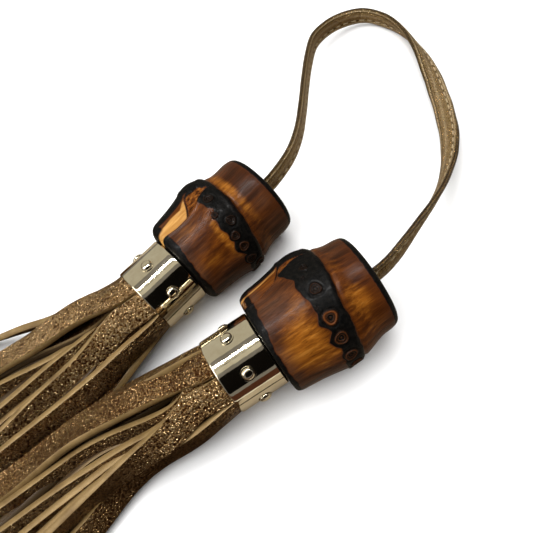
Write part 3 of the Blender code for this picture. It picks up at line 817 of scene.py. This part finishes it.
def add_stitch(parts, line, run_from, run_to, face):
    """One stitch, a short soft capsule that dips into the leather at its two ends."""
    rows = []
    for share in np.linspace(0.0, 1.0, 9):
        run = run_from + (run_to - run_from) * share
        place, travel, width = line.frame_at(run)
        out = np.cross(travel, width) * face
        bow = math.sin(math.pi * share)
        centre = place + width * (STITCH_LINE + 0.05 * (share - 0.5)) + out * (0.52 + 0.22 * bow**0.5)
        radius = 0.10 + 0.19 * bow**0.4
        turns = np.arange(8)[:, None] * math.pi / 4
        rows.append(centre + radius * (np.cos(turns) * width + np.sin(turns) * np.cross(travel, width)))
    parts.add_tube(rows, kinds=[2] * 8, cap_kind=2, run=0.0, across=0.0, tone=0.0, crease=0.0)


def strap(materials):
    line = StrapRun()
    half, last = line.length / 2, line.length - END_RUN
    spans = {"a": (END_RUN, half, -END_INSIDE, END_RUN), "b": (half, last, last, line.length + END_INSIDE)}
    for letter, (half_from, half_to, end_from, end_to) in spans.items():
        mouth = on_axis(letter, TASSELS[letter]["mouth"])
        end = strap_piece("strap_end_leather_" + letter, line, end_from, end_to, materials)
        (mouth + axis_of(letter) * 3.6) * MM
        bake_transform(end)
        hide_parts("strap_end_" + letter)
        main = strap_piece("strap_leather_" + letter, line, half_from, half_to, materials)
        near, swing, far = (line.place(run if letter == "a" else line.length - run)
                            for run in (BEND_RUN - BEND_HALF, BEND_RUN, BEND_RUN + BEND_HALF))
        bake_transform(main)
        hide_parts("strap_loop")
        runs = np.linspace(half_from, half_to, 40)
        path = [tuple(line.place(run) * MM) for run in runs]
        if letter == "b":
            path.reverse()


# ---- fringes

# Strands that show in the usual view. Each one leaves the collar at an angle and a radius, then passes these
# places: (x, y, z, tilt). Tilt 0 lies flat with its first edge towards +Y, and 90 stands on edge.
STRANDS = {"a": [
    (34, 10.2, 7.6, [(9, 20.5, 20, -62), (-7, 28.6, 13.4, -66), (-18.8, 38, 8.4, -60), (-30.5, 45, 5.8, -57),
        (-50, 53.5, 5, -57), (-72, 60, 5, -57)]),
    (83, 10.4, 9.2, [(8, 14.6, 24.5, -5), (-4, 20.3, 20.5, -6), (-17, 23.9, 17, -9), (-30, 27.6, 14.5, -10),
        (-50, 31, 11.5, -5), (-75, 35.5, 9, 0)]),
    (132, 10.4, 8.8, [(13, 3.1, 23.4, 48), (2.3, 3.6, 19.6, 60), (-15.2, 3.9, 15.2, 70), (-27, 4.6, 13.1, 74),
        (-39, 4, 11.5, 76), (-56, 3.4, 9.5, 72), (-76, 3, 8, 70)]),
    (181, 10.4, 8.4, [(9.7, -3, 16.4, 88), (-5, -2.8, 13.8, 82), (-19, -2, 12, 78), (-41, -0.6, 9.5, 74),
        (-58, -1, 8, 70), (-75.5, -1.5, 7, 66)]),
    (230, 10.3, 8, [(6, -1.5, 8, 142), (-10, -3.6, 5.8, 158), (-28, -5, 4, 168), (-52, -5.5, 3, 174),
        (-74.5, -5.5, 2.5, 178)]),
    (108, 7.2, 7.8, [(10.5, 9.4, 17.4, 52), (-4, 13.2, 12.2, 72), (-21, 17.2, 10.2, 76), (-34, 21, 8.8, 74),
        (-55, 25.5, 7.5, 70), (-74, 28.5, 6.5, 60)]),
    (118, 7, 7.8, [(5.4, 9, 16.6, 58), (-9.3, 10.8, 14, 70), (-23, 12.1, 12, 74), (-36, 13.1, 10.4, 74),
        (-55, 14.5, 8.8, 70), (-75.2, 15.5, 7.5, 66)]),
], "b": [
    (40, 10.3, 8.2, [(10, -18.3, 20.8, -45), (-5, -13.2, 16, -40), (-20, -10.2, 12.5, -30), (-45, -7.5, 8.5, -15),
        (-71.5, -4, 6, -5)]),
    (89, 10.4, 9, [(17, -27.2, 25.6, -3), (8, -23.8, 23.6, -8), (-5, -19.2, 20, -16), (-16, -15.9, 17, -28),
        (-24, -14, 15, -32), (-45, -11, 11, -25), (-72.5, -7.5, 8, -15)]),
    (138, 10.4, 8.6, [(16, -37.6, 24.4, 46), (7.4, -37.5, 21.6, 50), (-5.3, -35.6, 17.6, 72), (-19, -34.2, 14.4, 86),
        (-34, -34, 11.4, 86), (-52, -34.6, 9.3, 84), (-73, -36, 8, 80)]),
    (184, 10.4, 8.4, [(10, -40.6, 14.6, 95), (-5, -35.6, 9.9, 87), (-19, -34.9, 7.4, 72), (-31, -37.6, 6.3, 62),
        (-50, -40, 5.5, 60), (-72, -43, 5, 65)]),
    (230, 10.3, 8, [(8, -36.5, 7.8, 148), (-10, -31.5, 4.6, 165), (-30, -33.5, 3.4, 172), (-50, -37.5, 2.8, 176),
        (-71, -41.5, 2.5, 180)]),
    (110, 7.4, 7.8, [(14, -34.6, 22.2, 60), (6.3, -32.2, 19.2, 68), (-10.3, -24.4, 15, 74), (-21, -21, 12.8, 76),
        (-27, -20, 11.7, 76), (-45, -17.5, 9.5, 74), (-72, -14, 7.5, 66)]),
    (122, 7.2, 7.6, [(6.3, -35, 18.6, 66), (-5.4, -31.4, 15.8, 74), (-17, -28, 13.2, 76), (-30, -25.6, 11.2, 78),
        (-48, -24, 9, 76), (-73, -22, 7.5, 70)]),
    (134, 6.6, 7.4, [(2, -34.6, 15.2, 74), (-10, -31, 13.2, 78), (-19, -29.7, 12, 80), (-32, -29, 10.5, 80),
        (-50, -28.5, 8.5, 78), (-71.5, -29, 7, 72)]),
    (150, 6.4, 7.2, [(-2, -34.6, 12.6, 80), (-15, -32.2, 11.4, 82), (-32, -31.8, 9.6, 82), (-50, -32, 8, 80),
        (-72.4, -32.5, 7, 74)]),
]}
# The rest of each bundle: (angle, radius, width, places), which lies under and behind those.
HIDDEN_STRANDS = {"a": [
    (343, 10.3, 8.2, [(6, 21.5, 12.5, -104), (-12, 27.5, 9.2, -60), (-34, 35.5, 6, -22), (-56, 42, 4, -8),
        (-75.5, 49, 3, -3)]),
    (286, 10.3, 8.2, [(6, 13.5, 8, 196), (-14, 19, 4.6, 186), (-38, 27.5, 3, 182), (-76, 38, 2.2, 180)]),
    (258, 10.3, 8, [(6, 7, 7.2, 168), (-14, 8, 4.2, 176), (-40, 9, 3, 178), (-74.6, 8.5, 2.2, 180)]),
    (10, 7.2, 7.6, [(6, 17.5, 16.5, -72), (-14, 24.5, 12.6, -56), (-36, 32.5, 8.6, -40), (-75, 40.5, 4.8, -25)]),
    (60, 7.2, 7.6, [(6, 13.5, 18.5, -30), (-14, 21.5, 13, -34), (-36, 28.5, 9.8, -40), (-76, 33, 5.6, -30)]),
    (170, 7.2, 7.6, [(6, 1.8, 14.5, 82), (-14, 0.4, 10.4, 74), (-38, 1, 7.2, 70), (-75, 5.5, 5.4, 60)]),
    (320, 6.8, 7.4, [(4, 14, 9.5, 222), (-16, 20, 7, 206), (-40, 22.5, 5, 196), (-74, 22.5, 4, 190)]),
    (215, 6.8, 7.4, [(4, 3.6, 9.5, 128), (-16, 4.5, 7.6, 120), (-40, 7.5, 5.6, 124), (-76, 11.5, 4.2, 130)]),
    (100, 3.8, 7, [(2, 9.6, 13, 78), (-18, 14.6, 9, 84), (-40, 18, 7.2, 82), (-75, 20, 5.6, 70)]),
    (160, 3.4, 7, [(2, 5.6, 14, 80), (-18, 7.9, 10.4, 80), (-40, 9.6, 8, 78), (-74, 7.8, 6.6, 72)]),
    (20, 3.4, 7, [(2, 12.6, 12, 95), (-18, 20.6, 9.2, 90), (-40, 25.4, 7.4, 84), (-76, 26, 5.6, 75)]),
], "b": [
    (343, 10.3, 8.2, [(10, -19.5, 14, -104), (-8, -14.5, 9.4, -60), (-30, -12.5, 6, -24), (-52, -9, 4.2, -8),
        (-72, -5.5, 3, -3)]),
    (286, 10.3, 8.2, [(10, -27.5, 8.4, 196), (-10, -22.5, 4.6, 186), (-34, -19.5, 3, 182), (-73, -15.5, 2.2, 180)]),
    (258, 10.3, 8, [(10, -31.5, 7.2, 168), (-10, -27, 4.2, 174), (-36, -26.8, 3, 178), (-71, -27.5, 2.2, 180)]),
    (10, 7.2, 7.6, [(8, -21.5, 17, -72), (-10, -17.5, 12, -58), (-32, -15, 8.4, -44), (-72, -11, 4.8, -30)]),
    (64, 7.2, 7.6, [(10, -24.6, 19.2, -24), (-10, -18.6, 13.4, -30), (-32, -17.2, 9, -42), (-73, -17.8, 5.4, -34)]),
    (320, 6.8, 7.4, [(8, -24.5, 10, 222), (-12, -21.5, 7, 206), (-36, -20.5, 5, 196), (-71, -20.8, 4, 190)]),
    (215, 6.8, 7.4, [(8, -35, 10, 128), (-12, -31, 7.4, 118), (-36, -30, 5.4, 122), (-72, -34.5, 4.2, 130)]),
    (100, 3.8, 7, [(6, -30.5, 15, 78), (-14, -24.6, 10.4, 84), (-36, -22.6, 7.6, 82), (-72, -24.6, 5.6, 70)]),
    (160, 3.4, 7, [(6, -33, 13, 80), (-14, -28, 9.6, 82), (-36, -26.8, 7.6, 80), (-71, -28.4, 5.8, 72)]),
    (20, 3.4, 7, [(6, -27.6, 12, 95), (-14, -22, 9.2, 90), (-36, -18.4, 7.4, 84), (-73, -19.4, 5.6, 75)]),
]}
STRAND_THICKNESS = 2.2
STRAND_ROWS = 84
# Along the tassel: where the strands start inside the collar, and where they are clear of it.
STRAND_START, STRAND_CLEAR = -7.6, -9.2
# Two distances along the tassel; fringe() finds the axis points there and does nothing with them.
SWAY_SPAN = (-9.5, -29.0)
# Weight of a degree of tilt against a millimetre in the spline.
TILT_WEIGHT = 0.12
# Strands whose ring is smaller than this are deep in the bundle, and get painted shade.
DEEP_RADIUS = 8.0
# Section of a strand for a width and thickness of 1: (across, out, lies on a cut edge).
HALF_STRAND = [(0.5, 0.30, 1), (0.47, 0.50, 0), (0.34, 0.5, 0), (0.17, 0.5, 0), (0.0, 0.5, 0), (-0.17, 0.5, 0),
               (-0.34, 0.5, 0), (-0.47, 0.50, 1), (-0.5, 0.30, 1)]
STRAND_SECTION = [(0.5, -0.30, 1)] + HALF_STRAND + [(-side, -out, edge) for side, out, edge in HALF_STRAND[:-1]]


def strand(parts, letter, rng, bundle_shade, angle, ring_radius, width, places):
    """Adds one strand. It leaves the ring in the collar bent to that circle, and flattens as it goes out."""
    turn = math.radians(angle)
    mouth = round_axis(letter, STRAND_START, turn, ring_radius)
    lips = round_axis(letter, STRAND_CLEAR, turn, ring_radius + 0.15)
    start_tilt = angle - 90.0
    start_tilt -= 360.0 * round((start_tilt - places[0][3]) / 360.0)
    stations = np.array([(*mouth, start_tilt), (*lips, start_tilt), *places], float)
    stations[:, 3] *= TILT_WEIGHT
    arrive = stations[-1] - stations[-2]
    at = clamped_spline(stations, (*-axis_of(letter), 0.0), arrive / np.linalg.norm(arrive[:3]))
    samples = np.array([at(i / STRAND_ROWS) for i in range(STRAND_ROWS + 1)])
    path, tilts = samples[:, :3], np.radians(samples[:, 3] / TILT_WEIGHT)
    lowest = np.abs(np.sin(tilts)) * width / 2 + np.abs(np.cos(tilts)) * STRAND_THICKNESS / 2 + 0.45
    path[:, 2] = np.maximum(path[:, 2], lowest)
    run = np.concatenate([[0.0], np.cumsum(np.linalg.norm(np.diff(path, axis=0), axis=1))])
    sway, wave, cup_sign = rng.uniform(0, 6.28), rng.uniform(0, 6.28), rng.choice((-1.0, 1.0))
    cup = rng.uniform(0.004, 0.016) * cup_sign  # bend across the strand, 1/mm
    # A random tone, lowered by the painted shade of strands deep in the bundle.
    tone = rng.uniform(-0.5, 0.5) - bundle_shade
    loosened = ease((run - 16.0) / 40.0)
    tilts = tilts + np.radians(6.0) * np.sin(run / 17.0 + sway) * loosened
    rows, creases = [], []
    for i, (place, tilt) in enumerate(zip(path, tilts)):
        travel = unit(path[min(i + 1, STRAND_ROWS)] - path[max(i - 1, 0)])
        flat = unit(np.cross(travel, UP))
        above = np.cross(flat, travel)
        across = -math.cos(tilt) * flat - math.sin(tilt) * above
        outward = np.cross(travel, across)
        gathered = 1.0 - float(ease((run[i] - 3.0) / 24.0))
        bend = gathered / ring_radius + (1.0 - gathered) * cup
        here = width * (1.0 - 0.02 * gathered)
        middle = place + 0.35 * loosened[i] * math.sin(run[i] / 11.0 + wave) * across
        ring = []
        for side, out, _ in STRAND_SECTION:
            distance = side * here
            turned_by = distance * bend
            ruck = 0.16 * gathered * math.sin(distance * 2.1 + wave) * math.exp(-((run[i] - 5.0) / 9.0) ** 2)
            height = out * STRAND_THICKNESS + ruck
            sideways = math.sin(turned_by) * (1.0 / bend + height)
            rise = math.cos(turned_by) * height - (1.0 - math.cos(turned_by)) / bend
            ring.append(middle + across * sideways + outward * rise)
        rows.append(ring)
        creases.append(gathered)
    sides = np.array([side for side, _, _ in STRAND_SECTION]) * width * MM
    inner = np.array([-0.5 if out < 0 else 0.0 for _, out, _ in STRAND_SECTION])
    parts.add_tube(rows, kinds=[edge for _, _, edge in STRAND_SECTION], cap_kind=1, run=run[:, None] * MM,
                   across=sides[None, :], tone=tone + inner[None, :], crease=np.array(creases)[:, None])
    return width, run[-1]


def fringe(letter, materials):
    rng = random.Random(11 if letter == "a" else 23)
    parts = MeshParts()
    bundle = [(0.0, *one) for one in STRANDS[letter]]
    # Hidden strands deep in the bundle get a painted shade of 1.
    bundle += [(1.0 if one[1] < DEEP_RADIUS else 0.0, *one) for one in HIDDEN_STRANDS[letter]]
    sizes = [strand(parts, letter, rng, *one) for one in bundle]
    piece = parts.build("leather_fringe_" + letter, materials, sharp=math.radians(35))
    on_axis(letter, SWAY_SPAN[0]) * MM
    on_axis(letter, SWAY_SPAN[1]) * MM
    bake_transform(piece)
    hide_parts("fringe_" + letter)


# ---- stage


# In metres from here on. The floor goes this far under the lowest place.
FLOOR_HALF, FLOOR_DROP = 4.0, 0.0002
BACKDROP_RADIUS, BACKDROP_HEIGHTS, BACKDROP_SIDES = 3.9, (-0.3, 4.5), 48
OBJECT_MIDDLE = (0.045, 0.0, 0.015)
CREAM, BLACK, DARK_BROWN = (1.0, 0.96, 0.80), (0.01, 0.01, 0.01), (0.035, 0.022, 0.012)
SAND, UMBER, COPPER = (0.84, 0.73, 0.56), (0.12, 0.065, 0.030), (0.13, 0.050, 0.028)
# Cards that only reflections see: (name, middle, target, size, colour, glow). They stand round the object.
WALL_CARDS = [
    ("dark_wall", (0.05, -0.55, 0.44), (0.05, 0.0, 0.26), (1.2, 0.72), (0.012, 0.011, 0.010), 0.0),
    ("cream_wall", (0.05, 0.90, 0.70), (0.05, 0.0, 0.10), (2.4, 1.5), CREAM, 0.52),
    ("cream_ceiling", (0.05, -0.16, 1.20), (0.05, -0.16, 0.0), (1.8, 0.50), CREAM, 0.62),
    ("dark_line", (0.05, -0.12, 1.10), (0.05, -0.12, 0.0), (1.8, 0.022), BLACK, 0.0),
]
# Cards that face up just under the floor: (name, x, y, z, size, colour, glow, seen by diffuse light).
TABLE_CARDS = [
    ("table_right", 0.268, 0.06, -0.0012, (0.50, 0.30), SAND, 0.0, True),
    ("table_left", -0.232, 0.06, -0.0012, (0.50, 0.30), UMBER, 0.0, True),
    ("table_line_0", 0.05, -0.019, -0.0009, (0.9, 0.003), DARK_BROWN, 0.0, False),
    ("table_line_1", 0.05, -0.063, -0.0009, (0.9, 0.003), DARK_BROWN, 0.0, False),
    ("table_strip", 0.05, -0.094, -0.0012, (0.9, 0.008), CREAM, 0.9, False),
    ("table_far", 0.05, -0.30, -0.0012, (0.9, 0.40), COPPER, 0.0, True),
]


def rectangle(name, width, bundle_shade, material):
    mesh = bpy.data.meshes.new(name)
    x, y = width / 2, bundle_shade / 2
    mesh.from_pydata([(-x, -y, 0), (x, -y, 0), (x, y, 0), (-x, y, 0)], [], [(0, 1, 2, 3)])
    mesh.materials.append(material)
    return put(name, mesh)


def glow_paint(name, colour, glow):
    """Matt paint that mirrors nothing. Where it glows, its own colour is black."""
    m = Nodes(name)
    paint = (0.0, 0.0, 0.0) if glow else colour
    m.set(Base_Color=(*paint, 1.0), Roughness=1.0, Specular_IOR_Level=0.0, Emission_Color=(*colour, 1.0),
          Emission_Strength=glow)
    return m.material


def aim(obj, middle, target, face):
    """Puts the object there, with its local axis face towards the target."""
    obj.location = middle
    obj.rotation_euler = (Vector(target) - Vector(middle)).to_track_quat(face, "Y").to_euler()


def stage_card(name, middle, target, size, colour, glow, diffuse=False):
    card = rectangle(name, *size, glow_paint(name + "_paint", colour, glow))
    aim(card, middle, target, "Z")
    card.visible_diffuse = diffuse
    card.visible_camera = card.visible_shadow = card.visible_transmission = False


def make_floor():
    m = Nodes("studio_floor")
    grain = m.noise(m.local(), 40.0, 2.0, 0.5)
    m.set(Base_Color=m.ramp(grain, (0.3, (0.93, 0.93, 0.93)), (0.7, (0.95, 0.95, 0.95))), Roughness=0.6)
    floor = rectangle("floor", 2 * FLOOR_HALF, 2 * FLOOR_HALF, m.material)
    floor.location.z = min(0.0, CAD_BOX[0][2]) - FLOOR_DROP
    floor.visible_diffuse = floor.visible_glossy = False


def make_backdrop():
    """A pale wall all round that only the camera sees, so that low views end in it."""
    mesh = bpy.data.meshes.new("backdrop")
    turns = [2 * math.pi * i / BACKDROP_SIDES for i in range(BACKDROP_SIDES)]
    corners = [(BACKDROP_RADIUS * math.cos(turn), BACKDROP_RADIUS * math.sin(turn), z) for z in BACKDROP_HEIGHTS
               for turn in turns]
    after = [(i + 1) % BACKDROP_SIDES for i in range(BACKDROP_SIDES)]
    mesh.from_pydata(corners, [], [(i, j, BACKDROP_SIDES + j, BACKDROP_SIDES + i) for i, j in enumerate(after)])
    mesh.materials.append(glow_paint("pale_backdrop", (0.97, 0.97, 0.97), 0.92))
    wall = put("backdrop", mesh)
    wall.visible_diffuse = wall.visible_glossy = wall.visible_shadow = wall.visible_transmission = False


def area_light(name, middle, size, power):
    data = bpy.data.lights.new(name, "AREA")
    data.shape = "RECTANGLE"
    data.size, data.size_y = size
    data.energy = power
    light = put(name, data)
    aim(light, middle, OBJECT_MIDDLE, "-Z")
    return light


def make_lights():
    """A broad sun that isn't mirrored, a strip light that only is, and a weak light from the left."""
    world = bpy.data.worlds.new("studio")
    bpy.context.scene.world = world
    world.use_nodes = True
    background = world.node_tree.nodes["Background"]
    background.inputs["Color"].default_value = (1.0, 0.96, 0.90, 1.0)
    background.inputs["Strength"].default_value = 0.22
    sun = bpy.data.lights.new("overhead", "SUN")
    sun.energy = 4.4
    sun.angle = math.radians(70.0)
    put("overhead", sun).visible_glossy = False
    area_light("strip", (0.05, 0.03, 0.98), (1.3, 0.05), 17.0).visible_diffuse = False
    area_light("side", (-0.80, 0.10, 0.60), (0.6, 0.6), 4.0)


def make_stage():
    make_floor()
    make_backdrop()
    make_lights()
    for card in WALL_CARDS:
        stage_card(*card)
    for name, x, y, z, size, colour, glow, diffuse in TABLE_CARDS:
        stage_card(name, (x, y, z), (x, y, 1.0), size, colour, glow, diffuse)
    bpy.context.scene.view_settings.view_transform = "Standard"
    bpy.context.scene.view_settings.look = "None"


# ---- the whole


def main():
    make_camera()
    # The strap's bright lines along its edges and face are painted highlights.
    strap_face = leather_material(
        "strap_bronze", peak=(0.53, 0.372, 0.166), valley=(0.150, 0.088, 0.033), metal=0.82, grain=2000.0,
        folds=(900.0, 120.0),
        seam_lines=((-3.45, 0.40, 0.95), (-2.35, 0.34, 0.85), (STITCH_LINE, 0.34, 0.85), (3.4, 0.35, 0.9)),
        painted_highlight_lines=((-2.85, 0.30, 0.45), (-0.7, 0.9, 0.22), (2.6, 0.40, 0.45)))
    # The fringe's pale peak colour is partly a painted glint on the tops of the grain.
    fringe_face = leather_material("fringe_bronze", peak=(0.76, 0.580, 0.330), valley=(0.048, 0.0175, 0.0034),
                                   metal=0.92, grain=1800.0, folds=(90.0, 700.0))
    cut_edge, groove = cut_edge_material(), groove_material()
    strap([strap_face, groove, thread_material()])
    gold = polished_metal("pale_gold")
    raw, inside = raw_leather_material(), plain_strap_material()
    for letter in TASSELS:
        shift = 0.0 if letter == "a" else 37.0
        bamboo_head(letter, bamboo_material("scorched_bamboo_" + letter, shift))
        collar(letter, gold)
        fringe(letter, [fringe_face, cut_edge])
        for node, material in (("header_roll_", raw), ("strap_tail_", inside), ("strap_knot_", inside)):
            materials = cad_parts[node + letter].data.materials
            materials.clear()
            materials.append(material)
    make_stage()


main()
